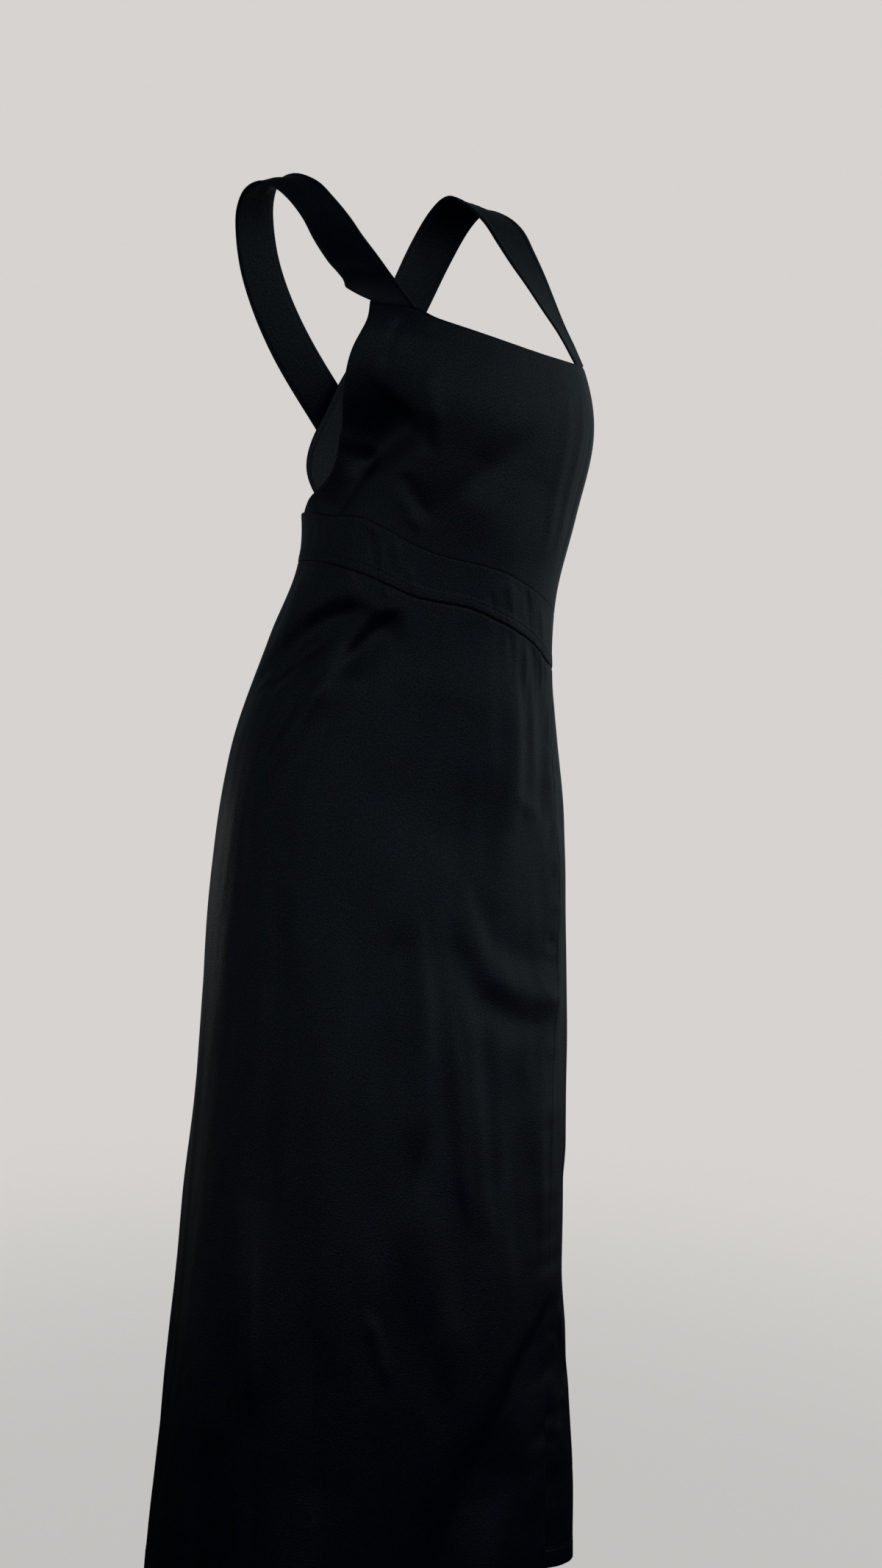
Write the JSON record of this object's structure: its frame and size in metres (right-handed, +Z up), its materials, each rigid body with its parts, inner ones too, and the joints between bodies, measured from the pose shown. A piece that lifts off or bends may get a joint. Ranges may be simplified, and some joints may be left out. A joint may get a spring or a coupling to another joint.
{
  "type": "pinafore dress",
  "caption": "Long sleeveless pinafore dress with a bib, an inset waistband, shoulder straps that cross at the back, and a side slit.",
  "frame": {"origin": "midway between the two straps, at the top of the wearer's shoulders", "axes": "+Z up, -Y the way the wearer faces, +X the wearer's left"},
  "size_m": [0.4121, 0.365, 1.2852],
  "materials": {
    "bib_front": "smooth black satin-backed crepe with a dull sheen",
    "waistband_front": "smooth black satin-backed crepe with a dull sheen",
    "waistband_back": "smooth black satin-backed crepe with a dull sheen",
    "skirt_front": "smooth black satin-backed crepe with a dull sheen",
    "skirt_back": "smooth black satin-backed crepe with a dull sheen",
    "strap_right": "smooth black satin-backed crepe with a dull sheen",
    "strap_left": "smooth black satin-backed crepe with a dull sheen"
  },
  "bodies": {
    "root": {"bib_front": "bib_front", "waistband_front": "waistband_front", "waistband_back": "waistband_back", "skirt_front": "skirt_front", "skirt_back": "skirt_back", "strap_right": "strap_right", "strap_left": "strap_left"}
  },
  "joints": []
}
